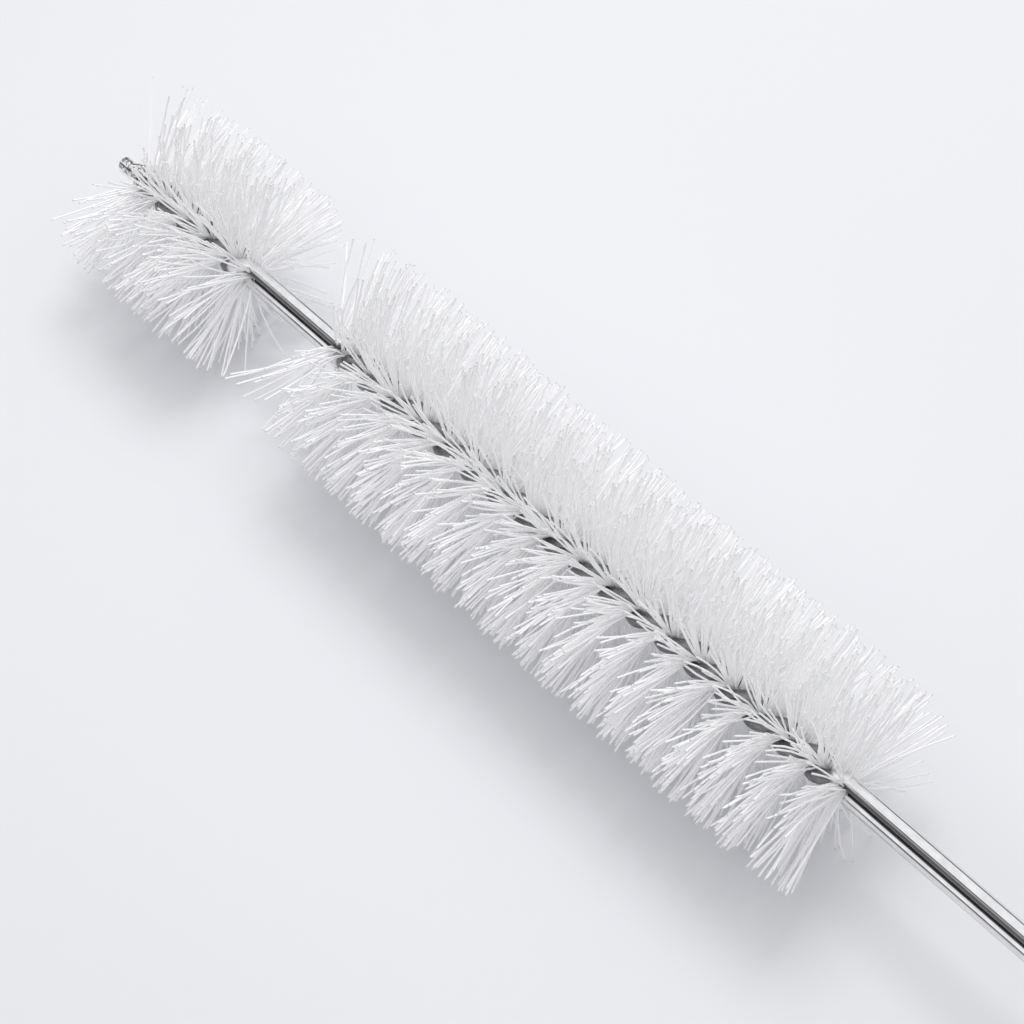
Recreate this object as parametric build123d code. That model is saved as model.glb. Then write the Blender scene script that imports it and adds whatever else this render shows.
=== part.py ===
from build123d import *
import math
import os

# A bottle brush, lying on a table. One steel wire is doubled: it starts as a hanging loop, runs as
# two straight legs, and is twisted left-handed through a long head and, past a bare gap, a short one.
# Nylon bristles are clamped between the two strands, so they fan out in a double spiral.
# X runs along the stem from the tip to the loop, Z is up, and the table is at Z = 0.

# Driving dimensions, in millimetres and degrees: the wire
wire_diameter = 3.2
clamp_clearance = 0.025
pair_tilt = 76.5
tip_projection = 5.2
handle_length = 145.0
loop_bore = 16.0
loop_neck_radius = 14.0
twist_lead = 0.5
twist_ease = 2.0

# The heads
main_length = 148.1
main_diameter = 48.0
main_turns = 9.0
tip_length = 36.5
tip_diameter = 46.4
tip_turns = 2.5
bare_gap = 25.2

# The bristles
filament_diameter = 0.4
filament_clearance = 0.1
end_splay = 14.0
splay_length = 6.0
lean_jitter = 3.0
flat_spot_depth = 0.8

# How finely the parts that the bristles hide are cut
strand_sides = 8
strand_steps_per_turn = 8
filament_sides = 3
strand_facet_share = 0.99
golden_share = (math.sqrt(5) - 1) / 2

# Places along the stem, measured from the wire's cut ends, and the height of the stem
tip_start = tip_projection
tip_end = tip_start + tip_length
main_start = tip_end + bare_gap
main_end = main_start + main_length
axis_height = main_diameter / 2 - flat_spot_depth

# The strands' centre lines are chords, set out so that their middles keep the clamping gap
strand_radius = wire_diameter / 2
clamp_reach = filament_diameter / 2 + clamp_clearance + strand_radius
strand_offset = clamp_reach / math.cos(math.pi / strand_steps_per_turn)
loop_radius = loop_bore / 2 + strand_radius
along_stem = Vector(1, 0, 0)


def twist_angle(x, start, end, turns):
    """Degrees turned between start and x, with a straight lead and an eased rate at each end."""
    first = start + twist_lead
    last = end - twist_lead
    rate = 360 * turns / (last - first - twist_ease)
    run = min(max(x - first, 0), last - first)
    into = min(run, twist_ease)
    left = max(run - (last - first - twist_ease), 0)
    full = max(run - twist_ease, 0) - left
    return rate * (into**2 / 2 + left * twist_ease - left**2 / 2) / twist_ease + rate * full


def pair_angle(x):
    """Direction from the stem's axis to the first strand at x, from +Y towards +Z."""
    tip_turned = twist_angle(x, 0, tip_end, tip_turns) - 360 * tip_turns
    main_turned = twist_angle(x, main_start, main_end, main_turns)
    return pair_tilt - tip_turned - main_turned


def outward(angle):
    """The direction away from the stem's axis at an angle, from +Y towards +Z."""
    return Vector(0, math.cos(math.radians(angle)), math.sin(math.radians(angle)))


def around_axis(x, angle, radius):
    """The point at a radius and an angle about the stem's axis."""
    return Vector(x, 0, axis_height) + outward(angle) * radius


def twisted_strand(start, end, turns, side):
    """One strand of a twisted stretch, with flats, because the bristles hide it."""
    run = end - start - 2 * twist_lead
    steps = round(strand_steps_per_turn * turns * run / (run - twist_ease))
    stations = [start + twist_lead + run * step / steps for step in range(steps + 1)]
    stations = [start, *stations, end]
    path = Polyline(*[around_axis(x, pair_angle(x) + side, strand_offset) for x in stations])
    profile = RegularPolygon(strand_radius * strand_facet_share, strand_sides)
    return sweep(Plane(path @ 0, z_dir=path % 0) * profile, path, transition=Transition.RIGHT)


def gap_strand(side):
    """One straight round strand across the bare gap."""
    base = Plane(around_axis(tip_end, pair_tilt + side, strand_offset), z_dir=along_stem)
    return extrude(base * Circle(strand_radius), amount=bare_gap)


def handle():
    """The two round legs and the loop that joins them, all in the plane of the pair."""
    neck_span = loop_radius + loop_neck_radius
    neck_turn = math.degrees(math.acos((strand_offset + loop_neck_radius) / neck_span))
    leg_line = Line((0, strand_offset), (handle_length, strand_offset))
    flare = JernArc(leg_line @ 1, leg_line % 1, loop_neck_radius, neck_turn)
    eye = JernArc(flare @ 1, flare % 1, loop_radius, -180 - 2 * neck_turn)
    closing = JernArc(eye @ 1, eye % 1, loop_neck_radius, neck_turn)
    return_line = Line(closing @ 1, (0, -strand_offset))
    loop_normal = along_stem.cross(outward(pair_angle(main_end)))
    pair_plane = Plane((main_end, 0, axis_height), x_dir=along_stem, z_dir=loop_normal)
    path = pair_plane * Wire([leg_line, flare, eye, closing, return_line])
    return sweep(Plane(path @ 0, z_dir=path % 0) * Circle(strand_radius), path)


def wire_stem():
    """The whole wire as one solid."""
    strands = [handle()]
    for side in (0, 180):
        strands.append(twisted_strand(0, tip_end, tip_turns, side))
        strands.append(gap_strand(side))
        strands.append(twisted_strand(main_start, main_end, main_turns, side))
    return Part() + strands


def bristle_tip(x, angle, lean, head_radius):
    """Where a bristle from the clamp at x ends: at the head's edge, or on the table."""
    leaning = math.radians(lean)
    direction = outward(angle) * math.cos(leaning) + along_stem * math.sin(leaning)
    reach = head_radius
    if direction.Z < 0:
        corner_drop = filament_diameter / 2 * math.hypot(direction.X, direction.Y)
        reach = min(reach, (axis_height - corner_drop) / -direction.Z)
    return around_axis(x, angle, 0) + direction * reach


def filament_run(start, end, angle):
    """A straight run of filament, with one edge towards a strand and one flat towards the other."""
    across = Plane(start, x_dir=outward(angle + 90), z_dir=end - start)
    profile = RegularPolygon(filament_diameter / 2, filament_sides)
    return extrude(across * profile, amount=(end - start).length)


def filament(x, angle, splay, skew, head_radius):
    """A filament across the clamp: straight and a little skew, or bent there where the head splays it."""
    if splay == 0:
        near_tip = bristle_tip(x, angle, skew, head_radius)
        far_tip = bristle_tip(x, angle + 180, -skew, head_radius)
        return [filament_run(far_tip, near_tip, angle)]
    clamp = around_axis(x, angle, 0)
    runs = []
    for side in (angle, angle + 180):
        tip = bristle_tip(x, side, splay, head_radius)
        bend = clamp + (tip - clamp).normalized() * filament_diameter / 2
        runs.append(filament_run(bend, tip, angle))
    return runs


def bristle_head(start, end, diameter):
    """A head's filaments, laid along the twist at right angles to the pair, and splayed at both ends."""
    count = round((end - start) / (filament_diameter + filament_clearance))
    runs = []
    for index in range(count):
        x = start + (index + 1 / 2) * (end - start) / count
        near_end = max(0, 1 - (end - x) / splay_length)
        near_start = max(0, 1 - (x - start) / splay_length)
        splay = end_splay * (near_end**2 - near_start**2)
        skew = lean_jitter * (2 * (index * golden_share % 1) - 1)
        runs += filament(x, pair_angle(x) + 90, splay, skew, diameter / 2)
    return runs


nodes = {
    "wire_stem": [wire_stem()],
    "main_bristles": bristle_head(main_start, main_end, main_diameter),
    "tip_bristles": bristle_head(tip_start, tip_end, tip_diameter),
}

# The origin is under the middle of the brush
box = Compound([solid for solids in nodes.values() for solid in solids]).bounding_box()
to_origin = Location((-box.center().X, -box.center().Y, -box.min.Z))

os.makedirs("parts", exist_ok=True)
for name, solids in nodes.items():
    export_step(Compound([to_origin * solid for solid in solids]), f"parts/{name}.step")
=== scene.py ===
import math
from collections import namedtuple

import bpy
from bpy.props import FloatProperty, FloatVectorProperty, IntProperty, PointerProperty
from mathutils import Matrix, Vector


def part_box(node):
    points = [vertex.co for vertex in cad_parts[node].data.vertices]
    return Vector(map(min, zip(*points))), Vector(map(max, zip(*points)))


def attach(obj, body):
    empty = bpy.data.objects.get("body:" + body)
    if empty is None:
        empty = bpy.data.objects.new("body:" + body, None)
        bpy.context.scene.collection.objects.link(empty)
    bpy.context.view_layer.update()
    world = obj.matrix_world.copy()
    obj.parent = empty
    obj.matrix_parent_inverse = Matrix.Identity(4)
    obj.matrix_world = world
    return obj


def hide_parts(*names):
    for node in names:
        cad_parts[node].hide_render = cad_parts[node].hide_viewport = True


bl_info = {
    "name": "Bottle brush",
    "version": (1, 0, 0),
    "blender": (4, 5, 0),
    "location": "3D View > Sidebar > Brush",
    "description": "A twisted-wire bottle brush with a long and a short head of nylon bristles",
    "category": "Add Mesh",
}

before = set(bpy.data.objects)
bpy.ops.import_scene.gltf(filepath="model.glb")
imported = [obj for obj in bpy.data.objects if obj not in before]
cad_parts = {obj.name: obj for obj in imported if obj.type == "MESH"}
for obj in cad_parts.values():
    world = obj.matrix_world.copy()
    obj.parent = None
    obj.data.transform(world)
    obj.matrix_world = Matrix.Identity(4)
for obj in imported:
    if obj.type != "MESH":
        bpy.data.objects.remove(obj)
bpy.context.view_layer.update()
WIRE_LOW, WIRE_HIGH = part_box("wire_stem")

# How finely the wire is drawn: metres between points of a strand, points on a leg, a neck and the eye
# of the loop, and rings on a strand's rounded end, in degrees from its middle
STRAND_STEP = 0.0005
LEG_STEPS, NECK_STEPS, EYE_STEPS = 30, 12, 48
END_RINGS = (8, 20, 35, 50, 65, 80)

# How far from the axis a strand still lies against the other one, in wire diameters
PAIR_REACH = 0.75

# Steel: its lines and patches along the wire, per metre, and round it, and how rough they make it
LINES_ALONG, LINES_ROUND = 60.0, 9.0
PATCHES_ALONG, PATCHES_ROUND = 400.0, 1.0
PATCH_SHADE = 0.86
LEAST_ROUGH, ADDED_ROUGH = 0.05, 0.06
LINE_BUMP, LINE_DEPTH = 0.08, 0.00005
PITS_PER_METRE = 1400.0

# Nylon: how much of its tone is a bristle's own, where along it the cut face starts, how fast that
# dulls, and the shades of the dullest face and of a duller bristle
OWN_TONE = 0.6
CUT_FROM, CUT_DULLING = 0.985, 80.0
CUT_SHADE, DULL_SHADE = 0.8, 0.994
CLOUDS_PER_METRE = 900.0

# Bristles: points along one, flats round it, and random numbers kept apart for each seed
BRISTLE_POINTS = 5
BRISTLE_SIDES = 5
DRAWS_PER_SEED = 40.0

# A draw above the first number makes a bristle wild, and adds this many times the usual fan
WILD_FROM, WILD_FAN = 0.3, 3.0
# How loose a head's back end is, next to its front end
BACK_LOOSENESS = 0.48
# How far the crown reaches down a head, in splay lengths, and the longest bristle, in head radii
CROWN_REACH = 2.0
LONGEST = 1.03

# The room that the wire mirrors: pale low walls, a dark band above them and a pale ceiling. The places
# are sines of the height that one looks up to
ROOM = (
    (0.20, (0.66, 0.66, 0.675)),
    (0.28, (0.1, 0.1, 0.105)),
    (0.46, (0.1, 0.1, 0.105)),
    (0.56, (0.98, 0.98, 1.0)),
)

BRISTLE_SIZES = {
    "Count": "NodeSocketInt",
    "Seed": "NodeSocketInt",
    **dict.fromkeys(
        (
            "Head Start", "Head Length", "Head Radius", "Filament Radius", "Cut End", "Stem Height",
            "Twist Start", "Twist Length", "Twist Ease", "Twist Turns", "First Angle",
            "Lean Spread", "Round Spread", "Splay Length", "Stray Lean", "Stray Fan", "Stray Gaps",
            "Crown Angle", "Crown Lean", "Length Spread", "Bow",
        ),
        "NodeSocketFloat",
    ),
}

Twist = namedtuple("Twist", "start span turns")


def length(name, description, default):
    """A size in metres."""
    return FloatProperty(name=name, description=description, default=default, unit="LENGTH", precision=5)


def angle(name, description, degrees):
    """An angle, written in degrees."""
    return FloatProperty(name=name, description=description, default=math.radians(degrees), subtype="ANGLE")


def share(name, description, default):
    """A part of a whole, or a plain multiplier."""
    return FloatProperty(name=name, description=description, default=default, min=0.0)


def whole(name, description, default, least=0):
    """A whole number."""
    return IntProperty(name=name, description=description, default=default, min=least)


def colour(name, description, default):
    """A colour, in linear light."""
    return FloatVectorProperty(
        name=name, description=description, default=default, subtype="COLOR", min=0, max=1
    )


class WireSettings(bpy.types.PropertyGroup):
    """Sizes of the doubled wire and the layout of the stem, measured from its cut ends."""

    cut_end: length("Cut end", "Where along X the wire starts", WIRE_LOW[0])
    axis_height: length("Stem height", "Height of the stem's axis", (WIRE_LOW[2] + WIRE_HIGH[2]) / 2)
    diameter: length("Wire diameter", "Thickness of the wire", 0.0032)
    strand_offset: length("Strand offset", "From the stem's axis to the middle of a strand", 0.00192)
    pair_tilt: angle("Pair tilt", "Lean of the pair across the bare gap, from level", 76.5)
    tip_projection: length("Tip projection", "Bare wire past the short head", 0.0052)
    tip_length: length("Short head", "Length of the short head", 0.0365)
    bare_gap: length("Bare gap", "Bare wire between the heads", 0.0252)
    main_length: length("Long head", "Length of the long head", 0.1481)
    handle_length: length("Handle", "Straight wire behind the long head", 0.145)
    loop_bore: length("Loop bore", "Inside width of the hanging loop", 0.016)
    loop_neck: length("Loop neck", "Bend radius where the loop opens", 0.014)
    tip_turns: share("Short head turns", "Turns of the pair through the short head", 2.6)
    main_turns: share("Long head turns", "Turns of the pair through the long head", 9.0)
    twist_lead: length("Twist lead", "Straight wire at each end of a twisted run", 0.0005)
    twist_ease: length("Twist ease", "Run over which the twist comes up to its rate", 0.002)
    sides: whole("Sides", "Flats round the wire", 18, 6)
    steel: colour("Steel", "Colour of the bright wire", (0.90, 0.90, 0.905))
    # The wire inside a head gets painted shade from the bristles, except within these margins of the head's
    # ends
    gap_margin: length("Gap margin", "How far the gap's wire stays bright inside a head", 0.005)
    handle_margin: length("Handle margin", "How far the handle's wire stays bright inside a head", 0.003)
    # Painted shade on the wire: where the first strand's crease shade turns, how much the second strand gets,
    # and where the painted shade of the underside faces
    crease_turn: angle("Crease turn", "Turn of the first strand's shaded side out of the crease", -58.0)
    crease_share: share("Crease share", "How shaded the second strand is in the crease", 0.66)
    under_side: angle("Under side", "Where the wire's shaded under side faces, from +Y towards +Z", 245.0)
    # How much painted shade darkens the steel in the crease and underside and among the bristles, how much
    # the real pits darken the sawn ends, and the least brightness that all of this leaves
    painted_crease_shade: share("Shaded dulling", "How much duller the steel is where it is shaded", 0.85)
    painted_bristle_shade: share("Covered dulling", "How much duller the steel is among bristles", 0.72)
    sawn_dulling: share("Sawn dulling", "How much duller the pits of the sawn ends are", 0.65)
    least_bright: share("Least bright", "Brightness that the dulling leaves", 0.12)


class BristleSettings(bpy.types.PropertyGroup):
    """Sizes of the nylon bristles and how evenly they lie."""

    filament: length("Filament", "Thickness of a bristle", 0.00042)
    main_diameter: length("Long head width", "Width of the long head", 0.048)
    tip_diameter: length("Short head width", "Width of the short head", 0.0464)
    main_count: whole("Long head count", "Bristle halves in the long head", 3200)
    tip_count: whole("Short head count", "Bristle halves in the short head", 780)
    lean_spread: angle("Lean", "How far bristles lean along the stem", 9.0)
    round_spread: angle("Fan", "How far bristles stray round the stem", 9.0)
    splay_length: length("Splay length", "How much of each end is looser than the rest", 0.007)
    stray_lean: angle("Stray lean", "Outward lean of the loosest bristles at the ends", 40.0)
    stray_fan: angle("Stray fan", "How far the loosest bristles stray round the stem", 100.0)
    stray_gaps: share("Stray gaps", "Share of the bristles missing at the very ends", 0.42)
    crown_angle: angle("Crown angle", "Which side of a head leans back at its front end", 115.0)
    crown_lean: angle("Crown lean", "How far that side leans back", 22.0)
    length_spread: share("Length spread", "Unevenness of the trimmed ends", 0.10)
    bow: length("Bow", "How far a bristle bows at its middle", 0.0012)
    seed: whole("Seed", "Seed of every random lean and bow", 7)
    nylon: colour("Nylon", "Colour of the bristles", (0.9985, 0.9975, 1.0))


class StageSettings(bpy.types.PropertyGroup):
    """The table, the light and the camera."""

    table_half: length("Table half", "Half of the table's width", 4.0)
    floor: colour("Table", "Colour of the table", (0.785, 0.79, 0.81))
    key_power: share("Key power", "Watts of the key light", 2.12)
    key_turn: angle("Key turn", "Direction of the key light, from +X towards +Y", 122.0)
    key_rise: angle("Key rise", "Height of the key light above the table", 68.0)
    key_size: length("Key size", "Width of the key light", 0.375)
    key_distance: length("Key distance", "From the key light to the brush", 0.75)
    sky: share("Sky", "Brightness of the room", 0.985)
    bounces: whole("Bounces", "Most bounces of light", 32)
    diffuse_bounces: whole("Diffuse bounces", "Most bounces from one bristle to the next", 24)
    camera_turn: angle("Camera turn", "Direction of the camera, from -Y towards +X", 46.48)
    camera_rise: angle("Camera rise", "Height of the camera above the table", 55.5)
    camera_distance: length("Camera distance", "From the camera to what it aims at", 0.578)
    camera_lens: share("Lens", "Focal length in millimetres", 100.05)
    camera_near: length("Nearest view", "What is closer to the camera isn't seen", 0.01)
    aim: FloatVectorProperty(
        name="Aim", description="What the camera looks at", default=(-0.0699, -0.0022, 0.0232), unit="LENGTH"
    )


class BrushSettings(bpy.types.PropertyGroup):
    """All settings of the brush."""

    wire: PointerProperty(type=WireSettings)
    bristles: PointerProperty(type=BristleSettings)
    stage: PointerProperty(type=StageSettings)


class Field:
    """A number that a node tree works out for every point, so that rules read as arithmetic."""

    def __init__(self, tree, socket):
        self.tree = tree
        self.socket = socket

    def work(self, operation, *others):
        """A math node on this field and others."""
        node = self.tree.nodes.new("ShaderNodeMath")
        node.operation = operation
        for socket, value in zip(node.inputs, (self, *others)):
            feed(self.tree, value, socket)
        return Field(self.tree, node.outputs[0])

    def __add__(self, other):
        return self.work("ADD", other)

    def __sub__(self, other):
        return self.work("SUBTRACT", other)

    def __mul__(self, other):
        return self.work("MULTIPLY", other)

    def __truediv__(self, other):
        return self.work("DIVIDE", other)

    def __neg__(self):
        return self * -1.0

    def floor(self):
        """The whole number below."""
        return self.work("FLOOR")

    def most(self, other):
        """The larger of the two."""
        return self.work("MAXIMUM", other)

    def least(self, other):
        """The smaller of the two."""
        return self.work("MINIMUM", other)

    def clamp(self):
        """The number kept from 0 to 1."""
        return self.most(0.0).least(1.0)

    def rise(self, edge, rate):
        """From 0 at an edge up to 1, at a rate."""
        return ((self - edge) * rate).clamp()


def feed(tree, value, socket):
    """Links a field or a socket to an input, or sets a plain value on it."""
    if isinstance(value, Field):
        tree.links.new(value.socket, socket)
    elif isinstance(value, bpy.types.NodeSocket):
        tree.links.new(value, socket)
    else:
        socket.default_value = value


def add_node(tree, kind, settings=(), **inputs):
    """A node with its settings, and its inputs given by name with _ for a space."""
    node = tree.nodes.new(kind)
    for name, value in dict(settings).items():
        setattr(node, name, value)
    for name, value in inputs.items():
        feed(tree, value, node.inputs[name.replace("_", " ")])
    return node


def dot(tree, first, second):
    """How far one direction points along another."""
    node = add_node(tree, "ShaderNodeVectorMath", {"operation": "DOT_PRODUCT"})
    feed(tree, first, node.inputs[0])
    feed(tree, second, node.inputs[1])
    return Field(tree, node.outputs["Value"])


def store(tree, geometry, name, value):
    """The geometry with a number stored at every point."""
    node = add_node(
        tree, "GeometryNodeStoreNamedAttribute", {"data_type": "FLOAT", "domain": "POINT"},
        Geometry=geometry, Name=name, Value=value,
    )
    return node.outputs[0]


def attribute(tree, name):
    """A number that the geometry stores, in a material."""
    return Field(tree, add_node(tree, "ShaderNodeAttribute", {"attribute_name": name}).outputs["Fac"])


def clouds(tree, place, scale, detail):
    """A cloudy pattern over some places."""
    node = add_node(tree, "ShaderNodeTexNoise", Vector=place, Scale=scale, Detail=detail)
    return Field(tree, node.outputs["Fac"])


def object_place(tree):
    """Where a point lies in its object, in a material."""
    return add_node(tree, "ShaderNodeTexCoord").outputs["Object"]


def ramp(tree, level, stops):
    """Colours over a level, given as places and colours from the lowest up."""
    node = add_node(tree, "ShaderNodeValToRGB", Fac=level)
    marks = node.color_ramp.elements
    for mark, (place, tint) in zip((marks[0], marks[1]), (stops[0], stops[-1])):
        mark.position = place
        mark.color = (*tint, 1.0)
    for place, tint in stops[1:-1]:
        marks.new(place).color = (*tint, 1.0)
    return node.outputs["Color"]


def shade(tint, part):
    """A colour made darker."""
    return [channel * part for channel in tint]


def new_material(name, **constants):
    """A material, its node tree and its shader, with plain values on the shader's own inputs."""
    material = bpy.data.materials.new(name)
    material.use_nodes = True
    tree = material.node_tree
    shader = tree.nodes["Principled BSDF"]
    for label, value in constants.items():
        shader.inputs[label.replace("_", " ")].default_value = value
    return material, tree, shader


def new_tree(name, sizes):
    """An empty Geometry Nodes tree with named inputs, and those inputs as fields."""
    tree = bpy.data.node_groups.new(name, "GeometryNodeTree")
    tree.interface.new_socket("Geometry", in_out="INPUT", socket_type="NodeSocketGeometry")
    tree.interface.new_socket("Geometry", in_out="OUTPUT", socket_type="NodeSocketGeometry")
    for label, kind in sizes.items():
        tree.interface.new_socket(label, in_out="INPUT", socket_type=kind)
    entry = tree.nodes.new("NodeGroupInput")
    fields = {label: Field(tree, entry.outputs[label]) for label in sizes}
    return tree, entry.outputs["Geometry"], fields


def end_tree(tree, geometry, material, smooth):
    """Closes a tree: real geometry, smooth or in flats, with its material."""
    real = add_node(tree, "GeometryNodeRealizeInstances", Geometry=geometry)
    shaded = add_node(tree, "GeometryNodeSetShadeSmooth", Geometry=real.outputs[0], Shade_Smooth=smooth)
    dressed = add_node(tree, "GeometryNodeSetMaterial", Geometry=shaded.outputs[0], Material=material)
    exit_node = tree.nodes.new("NodeGroupOutput")
    tree.links.new(dressed.outputs[0], exit_node.inputs["Geometry"])


def add_object(name, data):
    """A new object in the scene."""
    thing = bpy.data.objects.new(name, data)
    bpy.context.scene.collection.objects.link(thing)
    return thing


def grow(name, start_mesh, tree, sizes):
    """An object whose plain mesh is what the tree makes of a start mesh."""
    piece = add_object(name, start_mesh)
    modifier = piece.modifiers.new(tree.name, "NODES")
    modifier.node_group = tree
    for item in tree.interface.items_tree:
        if item.in_out == "INPUT" and item.name in sizes:
            modifier[item.identifier] = sizes[item.name]
    graph = bpy.context.evaluated_depsgraph_get()
    mesh = bpy.data.meshes.new_from_object(piece.evaluated_get(graph))
    piece.modifiers.remove(modifier)
    piece.data = mesh
    mesh.name = name
    bpy.data.meshes.remove(start_mesh)
    if not mesh.polygons:
        raise RuntimeError(f"{name} came out empty")
    return piece


def belongs(piece, node):
    """Fixes a piece to the brush in place of a solid of the frame."""
    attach(piece, "root")
    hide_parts(node)


def turned(run, span, ease, turns, least, most):
    """How far a pair has turned after a run into its twist, with an eased rate at both ends."""
    rate = turns * math.tau / (span - ease)
    run = least(most(run, 0.0), span)
    into = least(run, ease)
    left = most(run - (span - ease), 0.0)
    full = most(run - ease, 0.0) - left
    return (into * into * 0.5 + left * ease - left * left * 0.5) * (rate / ease) + full * rate


def places(wire):
    """Where the short head ends and the long head starts and ends, from the cut ends."""
    tip_end = wire.tip_projection + wire.tip_length
    main_start = tip_end + wire.bare_gap
    return tip_end, main_start, main_start + wire.main_length


def twists(wire):
    """The two twisted runs, from the cut ends."""
    tip_end, main_start, _ = places(wire)
    lead = wire.twist_lead
    tip = Twist(lead, tip_end - 2 * lead, wire.tip_turns)
    main = Twist(main_start + lead, wire.main_length - 2 * lead, wire.main_turns)
    return tip, main


def pair_angle(wire, x):
    """Direction from the stem's axis to the first strand at x, from +Y towards +Z."""
    tip, main = twists(wire)
    tip_turn = turned(x - tip.start, tip.span, wire.twist_ease, tip.turns, min, max)
    main_turn = turned(x - main.start, main.span, wire.twist_ease, main.turns, min, max)
    return wire.pair_tilt + tip.turns * math.tau - tip_turn - main_turn


def outward(turn):
    """The direction away from the stem's axis, from +Y towards +Z."""
    return Vector((0.0, math.cos(turn), math.sin(turn)))


def strand_line(wire, side):
    """Points along one strand, from its rounded cut end to the end of the long head."""
    _, _, end = places(wire)
    count = math.ceil(end / STRAND_STEP)
    dome = [-math.cos(math.radians(ring)) * wire.diameter / 2 for ring in END_RINGS]
    points = []
    for x in dome + [end * index / count for index in range(count + 1)]:
        middle = Vector((wire.cut_end + x, 0.0, wire.axis_height))
        points.append(middle + outward(pair_angle(wire, x) + side) * wire.strand_offset)
    return points


def loop_line(wire, start):
    """Points of the straight legs and the hanging loop, in the plane of the pair."""
    _, _, end = places(wire)
    across = outward(pair_angle(wire, end))
    eye = (wire.loop_bore + wire.diameter) / 2
    neck_turn = math.acos((wire.strand_offset + wire.loop_neck) / (eye + wire.loop_neck))
    place = start.copy()
    heading = 0.0
    points = []
    runs = (
        (wire.handle_length, 0.0, LEG_STEPS),
        (wire.loop_neck * neck_turn, neck_turn, NECK_STEPS),
        (eye * (math.pi + 2 * neck_turn), -math.pi - 2 * neck_turn, EYE_STEPS),
        (wire.loop_neck * neck_turn, neck_turn, NECK_STEPS),
        (wire.handle_length, 0.0, LEG_STEPS),
    )
    for run, turn, steps in runs:
        half_turn = turn / steps / 2
        chord = run / steps
        if turn:
            chord *= math.sin(half_turn) / half_turn
        for _ in range(steps):
            heading += half_turn
            place += (Vector((math.cos(heading), 0, 0)) + across * math.sin(heading)) * chord
            heading += half_turn
            points.append(place.copy())
    return points


def mark_wire(line, wire):
    """Marks each point: how thick the wire is, if it is covered by bristles, which gets painted shade, if it
    is sawn, and where its side with painted crease shade faces.
    """
    tip_end, main_start, main_end = places(wire)
    half = len(line.vertices) / 2
    marks = {"radius": [], "covered": [], "sawn": []}
    shaded_sides = []
    for number, vertex in enumerate(line.vertices, 1):
        x = vertex.co.x - wire.cut_end
        past = max(0.0, -x) / (wire.diameter / 2)
        in_tip = wire.tip_projection < x < tip_end - wire.gap_margin
        in_main = main_start + wire.gap_margin < x < main_end - wire.handle_margin
        marks["radius"].append(math.sqrt(max(0.0, 1.0 - past * past)))
        marks["covered"].append(float(in_tip or in_main))
        marks["sawn"].append(float(x < wire.tip_projection))
        # Each strand's side that faces the other strand gets painted crease shade
        inward = Vector((0.0, -vertex.co.y, wire.axis_height - vertex.co.z))
        if inward.length >= wire.diameter * PAIR_REACH:
            shaded_sides.extend((0.0, 0.0, 0.0))
        elif number < half:
            inward.rotate(Matrix.Rotation(wire.crease_turn, 3, "X"))
            shaded_sides.extend(inward.normalized())
        else:
            shaded_sides.extend(inward.normalized() * wire.crease_share)
    for name, values in marks.items():
        line.attributes.new(name, "FLOAT", "POINT").data.foreach_set("value", values)
    line.attributes.new("shaded_side", "FLOAT_VECTOR", "POINT").data.foreach_set("vector", shaded_sides)


def steel_material(wire):
    """Bright drawn wire with fine lines and faint patches, darkened by painted shade in the crease,
    underneath and among bristles, and by pits at its sawn ends.
    """
    material, tree, shader = new_material("drawn_steel", Metallic=1.0)
    along = attribute(tree, "along")
    turn = attribute(tree, "around") * math.tau

    def wrapped(scale_along, scale_round, detail):
        """A cloudy pattern that meets itself round the wire."""
        place = add_node(
            tree, "ShaderNodeCombineXYZ", X=along * scale_along,
            Y=turn.work("COSINE") * scale_round, Z=turn.work("SINE") * scale_round,
        )
        return clouds(tree, place.outputs[0], 1.0, detail)

    lines = wrapped(LINES_ALONG, LINES_ROUND, 3.0)
    patches = wrapped(PATCHES_ALONG, PATCHES_ROUND, 2.0)
    feed(tree, lines * ADDED_ROUGH + patches * ADDED_ROUGH + LEAST_ROUGH, shader.inputs["Roughness"])
    bright = ramp(tree, patches, ((0.3, shade(wire.steel, PATCH_SHADE)), (0.7, wire.steel)))
    pits = clouds(tree, object_place(tree), PITS_PER_METRE, 1.0).rise(0.45, 8.0)
    # Painted shade in the crease, on the underside and among the bristles, with real pits at the sawn ends,
    # darkens the steel's colour
    painted_shade_and_pits = attribute(tree, "painted_shade_facing").rise(0.5, 5.0) * wire.painted_crease_shade
    painted_shade_and_pits = painted_shade_and_pits + attribute(tree, "covered") * wire.painted_bristle_shade
    painted_shade_and_pits = painted_shade_and_pits + attribute(tree, "sawn") * pits * wire.sawn_dulling
    toned = add_node(
        tree, "ShaderNodeVectorMath", {"operation": "SCALE"},
        Vector=bright, Scale=(-painted_shade_and_pits + 1.0).most(wire.least_bright),
    )
    feed(tree, toned.outputs["Vector"], shader.inputs["Base Color"])
    bump = add_node(tree, "ShaderNodeBump", Strength=LINE_BUMP, Distance=LINE_DEPTH, Height=lines)
    feed(tree, bump.outputs["Normal"], shader.inputs["Normal"])
    return material


def nylon_material(nylon):
    """Milky nylon filament: each one a little different, and duller on its cut face."""
    material, tree, shader = new_material("milky_nylon", IOR=1.5)
    cloud = clouds(tree, object_place(tree), CLOUDS_PER_METRE, 2.0)
    level = attribute(tree, "tone") * OWN_TONE + cloud * (1.0 - OWN_TONE)
    cut_face = ((attribute(tree, "along") - CUT_FROM) * CUT_DULLING).most(0.0)
    stops = ((0.0, shade(nylon, CUT_SHADE)), (0.2, shade(nylon, DULL_SHADE)), (0.7, nylon))
    feed(tree, ramp(tree, level - cut_face, stops), shader.inputs["Base Color"])
    feed(tree, cloud * 0.25 + 0.22, shader.inputs["Roughness"])
    return material


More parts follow.
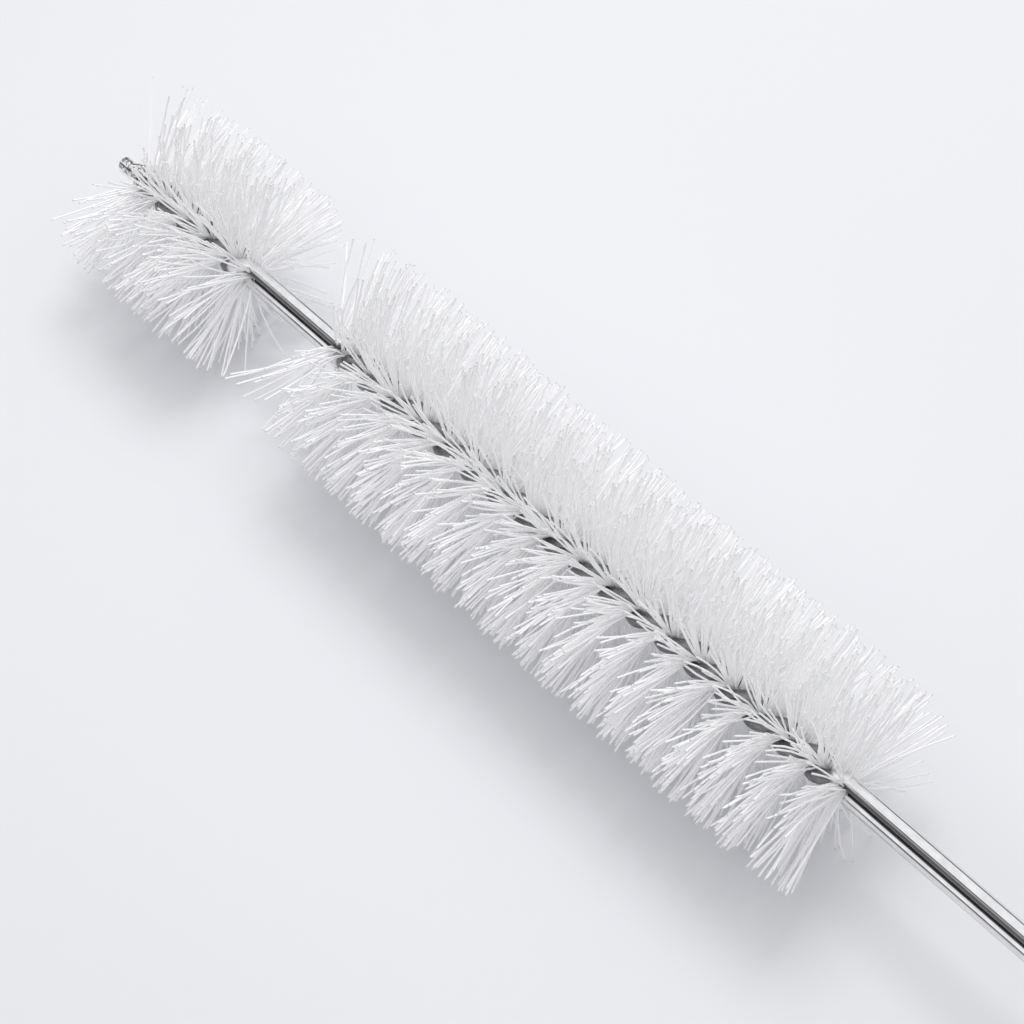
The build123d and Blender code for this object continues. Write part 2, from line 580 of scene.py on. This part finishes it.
def floor_material(floor):
    """Smooth pale board with a faint unevenness."""
    material, tree, shader = new_material("pale_table", Roughness=0.6, Specular_IOR_Level=0.2)
    cloud = clouds(tree, object_place(tree), 3.0, 2.0)
    tint = ramp(tree, cloud, ((0.0, shade(floor, 0.985)), (1.0, floor)))
    feed(tree, tint, shader.inputs["Base Color"])
    return material


def wire_tree(material, under_side):
    """Sweeps a round wire along the edges of a start mesh, and stores how far each face turns to the crease
    or the underside, where shade is painted.
    """
    tree, geometry, size = new_tree(
        "Wire sweep", {"Wire Radius": "NodeSocketFloat", "Wire Sides": "NodeSocketInt"}
    )
    line = add_node(tree, "GeometryNodeMeshToCurve", Mesh=geometry)
    place = add_node(tree, "GeometryNodeSplineParameter")
    ring = add_node(
        tree, "GeometryNodeCurvePrimitiveCircle", Resolution=size["Wire Sides"], Radius=size["Wire Radius"]
    )
    swept = add_node(
        tree, "GeometryNodeCurveToMesh", Fill_Caps=True,
        Curve=store(tree, line.outputs[0], "along", place.outputs["Length"]),
        Profile_Curve=store(tree, ring.outputs[0], "around", place.outputs["Factor"]),
    )
    normal = tree.nodes.new("GeometryNodeInputNormal").outputs[0]
    side = add_node(
        tree, "GeometryNodeInputNamedAttribute", {"data_type": "FLOAT_VECTOR"}, Name="shaded_side"
    )
    # How far each face turns into the crease or to the underside, where the steel gets painted shade
    painted_shade_facing = dot(tree, normal, side.outputs[0]).most(dot(tree, normal, outward(under_side)))
    end_tree(tree, store(tree, swept.outputs[0], "painted_shade_facing", painted_shade_facing), material, True)
    return tree


def bristle_tree(material):
    """Lays bristles along a twisted clamp and fans them out to a trimmed cylinder."""
    tree, _, size = new_tree("Bristle head", BRISTLE_SIZES)
    index = Field(tree, add_node(tree, "GeometryNodeCurveOfPoint").outputs["Curve Index"])
    reach = Field(tree, add_node(tree, "GeometryNodeSplineParameter").outputs["Factor"])

    def draw(layer):
        """A number from -1 to 1 for each bristle, evenly spread."""
        node = add_node(tree, "FunctionNodeRandomValue", {"data_type": "FLOAT"})
        # Of the inputs with one name, these are the ones for plain numbers
        feed(tree, -1.0, node.inputs[2])
        feed(tree, 1.0, node.inputs[3])
        feed(tree, index, node.inputs["ID"])
        feed(tree, size["Seed"] * DRAWS_PER_SEED + float(layer), node.inputs["Seed"])
        return Field(tree, node.outputs[1])

    def chance(layer):
        """A number from -1 to 1 for each bristle, mostly small."""
        return (draw(2 * layer) + draw(2 * layer + 1)) * 0.5

    # Where along the clamp a bristle lies. Two bristles are the halves of one filament
    pair = (index * 0.5).floor()
    side = index - pair * 2.0
    down_head = ((pair + chance(0) + 0.5) / (size["Count"] * 0.5)).clamp()
    x = size["Head Start"] + size["Head Length"] * down_head
    turn = turned(
        x - size["Twist Start"], size["Twist Length"], size["Twist Ease"], size["Twist Turns"],
        Field.least, Field.most,
    )

    # How near it is to the ends of the head, where bristles are loose
    from_start = size["Head Length"] * down_head / size["Splay Length"]
    from_end = (size["Head Length"] - size["Head Length"] * down_head) / size["Splay Length"]
    near_start = (-from_start + 1.0).most(0.0)
    near_end = (-from_end + 1.0).most(0.0)
    ends = near_end - near_start
    loose = near_end * BACK_LOOSENESS - near_start
    by_front = (-(from_start / CROWN_REACH) + 1.0).most(0.0)

    # Its direction round the stem, and its lean along it
    wild = draw(18).work("GREATER_THAN", WILD_FROM) * WILD_FAN + 1.0
    around = size["First Angle"] - turn + side * math.pi + chance(1) * wild * size["Round Spread"]
    around = around + ends * draw(16) * size["Stray Fan"]
    crown = ((around - size["Crown Angle"]).work("COSINE") * 2.0 - 1.0).most(0.0)
    lean = loose * (-crown + 1.0) * (draw(4) * 0.5 + 0.5) * size["Stray Lean"]
    lean = lean + chance(3) * size["Lean Spread"] + by_front * crown * size["Crown Lean"]

    # Its points, out to its trimmed length, with a bow that is widest in the middle
    trim = size["Head Radius"] * (-(chance(4).work("ABSOLUTE") * size["Length Spread"]) + LONGEST)
    bend = (reach - reach * reach) * 4.0 * size["Bow"]
    radius = trim * reach * lean.work("COSINE")
    cosine = around.work("COSINE")
    sine = around.work("SINE")
    swing = bend * chance(5)
    along = size["Cut End"] + x + trim * reach * lean.work("SINE") + bend * chance(6)
    across = radius * cosine - swing * sine
    height = size["Stem Height"] + radius * sine + swing * cosine
    place = add_node(
        tree, "ShaderNodeCombineXYZ", X=along, Y=across, Z=height.most(size["Filament Radius"])
    )

    line = add_node(tree, "GeometryNodeCurvePrimitiveLine")
    cut = add_node(tree, "GeometryNodeResampleCurve", Curve=line.outputs[0], Count=BRISTLE_POINTS)
    roots = add_node(tree, "GeometryNodePoints", Count=size["Count"])
    laid = add_node(tree, "GeometryNodeInstanceOnPoints", Points=roots.outputs[0], Instance=cut.outputs[0])
    real = add_node(tree, "GeometryNodeRealizeInstances", Geometry=laid.outputs[0])
    toned = store(tree, real.outputs[0], "tone", chance(7) * 0.5 + 0.5)
    marked = store(tree, toned, "along", reach)
    fanned = add_node(tree, "GeometryNodeSetPosition", Geometry=marked, Position=place.outputs[0])
    missing = (draw(17) * 0.5 + 0.5).work("LESS_THAN", ends.work("ABSOLUTE") * size["Stray Gaps"])
    kept = add_node(
        tree, "GeometryNodeDeleteGeometry", {"domain": "CURVE"}, Geometry=fanned.outputs[0], Selection=missing
    )
    ring = add_node(
        tree, "GeometryNodeCurvePrimitiveCircle", Resolution=BRISTLE_SIDES, Radius=size["Filament Radius"]
    )
    swept = add_node(
        tree, "GeometryNodeCurveToMesh", Fill_Caps=True, Curve=kept.outputs[0], Profile_Curve=ring.outputs[0]
    )
    end_tree(tree, swept.outputs[0], material, False)
    return tree


class BRUSH_OT_wire_stem(bpy.types.Operator):
    """Makes the doubled, twisted wire with its hanging loop"""

    bl_idname = "brush.wire_stem"
    bl_label = "Wire stem"

    def execute(self, context):
        wire = context.scene.brush.wire
        first = strand_line(wire, 0.0)
        second = strand_line(wire, math.pi)
        points = first + loop_line(wire, first[-1])[:-1] + second[::-1]
        line = bpy.data.meshes.new("wire_line")
        line.from_pydata(points, [(n, n + 1) for n in range(len(points) - 1)], [])
        mark_wire(line, wire)
        sizes = {"Wire Radius": wire.diameter / 2, "Wire Sides": wire.sides}
        piece = grow("wire", line, wire_tree(steel_material(wire), wire.under_side), sizes)
        belongs(piece, "wire_stem")
        return {"FINISHED"}


class BRUSH_OT_bristle_heads(bpy.types.Operator):
    """Makes the long and the short head of bristles"""

    bl_idname = "brush.bristle_heads"
    bl_label = "Bristle heads"

    def execute(self, context):
        wire = context.scene.brush.wire
        bristles = context.scene.brush.bristles
        tree = bristle_tree(nylon_material(bristles.nylon))
        tip_twist, main_twist = twists(wire)
        _, main_start, _ = places(wire)
        shared = {
            "Filament Radius": bristles.filament / 2,
            "Cut End": wire.cut_end,
            "Stem Height": wire.axis_height,
            "Twist Ease": wire.twist_ease,
            "Lean Spread": bristles.lean_spread,
            "Round Spread": bristles.round_spread,
            "Splay Length": bristles.splay_length,
            "Stray Lean": bristles.stray_lean,
            "Stray Fan": bristles.stray_fan,
            "Stray Gaps": bristles.stray_gaps,
            "Crown Angle": bristles.crown_angle,
            "Crown Lean": bristles.crown_lean,
            "Length Spread": bristles.length_spread,
            "Bow": bristles.bow,
        }
        main_head = {
            "Count": bristles.main_count,
            "Seed": bristles.seed,
            "Head Start": main_start,
            "Head Length": wire.main_length,
            "Head Radius": bristles.main_diameter / 2,
            "Twist Start": main_twist.start,
            "Twist Length": main_twist.span,
            "Twist Turns": main_twist.turns,
            "First Angle": wire.pair_tilt + math.pi / 2,
        }
        tip_head = {
            "Count": bristles.tip_count,
            "Seed": bristles.seed + 1,
            "Head Start": wire.tip_projection,
            "Head Length": wire.tip_length,
            "Head Radius": bristles.tip_diameter / 2,
            "Twist Start": tip_twist.start,
            "Twist Length": tip_twist.span,
            "Twist Turns": tip_twist.turns,
            "First Angle": wire.pair_tilt + tip_twist.turns * math.tau + math.pi / 2,
        }
        heads = (("main_brush", "main_bristles", main_head), ("tip_brush", "tip_bristles", tip_head))
        for name, node, head in heads:
            piece = grow(name, bpy.data.meshes.new("start"), tree, {**shared, **head})
            belongs(piece, node)
        return {"FINISHED"}


def skyward(turn, rise):
    """The direction at a turn from +X towards +Y and a height above the table."""
    flat = math.cos(rise)
    return Vector((math.cos(turn) * flat, math.sin(turn) * flat, math.sin(rise)))


def look_back(thing, aim, towards, distance):
    """Puts a lamp or a camera at a distance from the aim, and turns it to face the aim."""
    thing.location = aim + towards * distance
    thing.rotation_euler = (-towards).to_track_quat("-Z", "Y").to_euler()


def table_mesh(stage):
    """A wide board whose top is at the height of the frame's floor."""
    half = stage.table_half
    board = bpy.data.meshes.new("table")
    corners = [(-half, -half, 0), (half, -half, 0), (half, half, 0), (-half, half, 0)]
    board.from_pydata(corners, [], [(0, 1, 2, 3)])
    board.materials.append(floor_material(stage.floor))
    return board


def key_lamp(stage):
    """A round soft lamp."""
    lamp = bpy.data.lights.new("key", "AREA")
    lamp.shape = "DISK"
    lamp.size = stage.key_size
    lamp.energy = stage.key_power
    return lamp


def room_world(stage):
    """The plain room round the table, which lights it and which the wire mirrors."""
    world = bpy.data.worlds.new("room")
    world.use_nodes = True
    tree = world.node_tree
    way = add_node(tree, "ShaderNodeTexCoord").outputs["Generated"]
    height = add_node(tree, "ShaderNodeSeparateXYZ", Vector=way).outputs["Z"]
    background = tree.nodes["Background"]
    feed(tree, ramp(tree, height, ROOM), background.inputs["Color"])
    feed(tree, stage.sky, background.inputs["Strength"])
    return world


class BRUSH_OT_stage(bpy.types.Operator):
    """Sets up the table, the light and the camera"""

    bl_idname = "brush.stage"
    bl_label = "Stage"

    def execute(self, context):
        scene = context.scene
        stage = scene.brush.stage
        aim = Vector(stage.aim)
        scene.view_settings.view_transform = "Standard"
        scene.cycles.max_bounces = stage.bounces
        scene.cycles.diffuse_bounces = stage.diffuse_bounces
        scene.world = room_world(stage)

        table = add_object("table", table_mesh(stage))

        key = add_object("key", key_lamp(stage))
        look_back(key, aim, skyward(stage.key_turn, stage.key_rise), stage.key_distance)
        # The wire mirrors the room and not the lamp
        key.visible_glossy = False

        lens = bpy.data.cameras.new("camera")
        lens.lens = stage.camera_lens
        lens.clip_start = stage.camera_near
        camera = add_object("camera", lens)
        towards = skyward(stage.camera_turn - math.pi / 2, stage.camera_rise)
        look_back(camera, aim, towards, stage.camera_distance)
        scene.camera = camera
        return {"FINISHED"}


class BRUSH_PT_panel(bpy.types.Panel):
    """Lists the brush's settings and steps"""

    bl_label = "Bottle brush"
    bl_idname = "BRUSH_PT_panel"
    bl_space_type = "VIEW_3D"
    bl_region_type = "UI"
    bl_category = "Brush"

    def draw(self, context):
        settings = context.scene.brush
        for group, step in (
            (settings.wire, "brush.wire_stem"),
            (settings.bristles, "brush.bristle_heads"),
            (settings.stage, "brush.stage"),
        ):
            box = self.layout.box()
            for name in group.__annotations__:
                box.prop(group, name)
            box.operator(step)


CLASSES = (
    WireSettings, BristleSettings, StageSettings, BrushSettings,
    BRUSH_OT_wire_stem, BRUSH_OT_bristle_heads, BRUSH_OT_stage, BRUSH_PT_panel,
)


def register():
    """Makes the settings, steps and panel known to Blender."""
    for kind in CLASSES:
        bpy.utils.register_class(kind)
    bpy.types.Scene.brush = PointerProperty(type=BrushSettings)


def unregister():
    """Takes them away again."""
    del bpy.types.Scene.brush
    for kind in reversed(CLASSES):
        bpy.utils.unregister_class(kind)


def main():
    """Builds the brush and its stage."""
    register()
    bpy.ops.brush.wire_stem()
    bpy.ops.brush.bristle_heads()
    bpy.ops.brush.stage()
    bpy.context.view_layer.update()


if __name__ == "__main__":
    main()
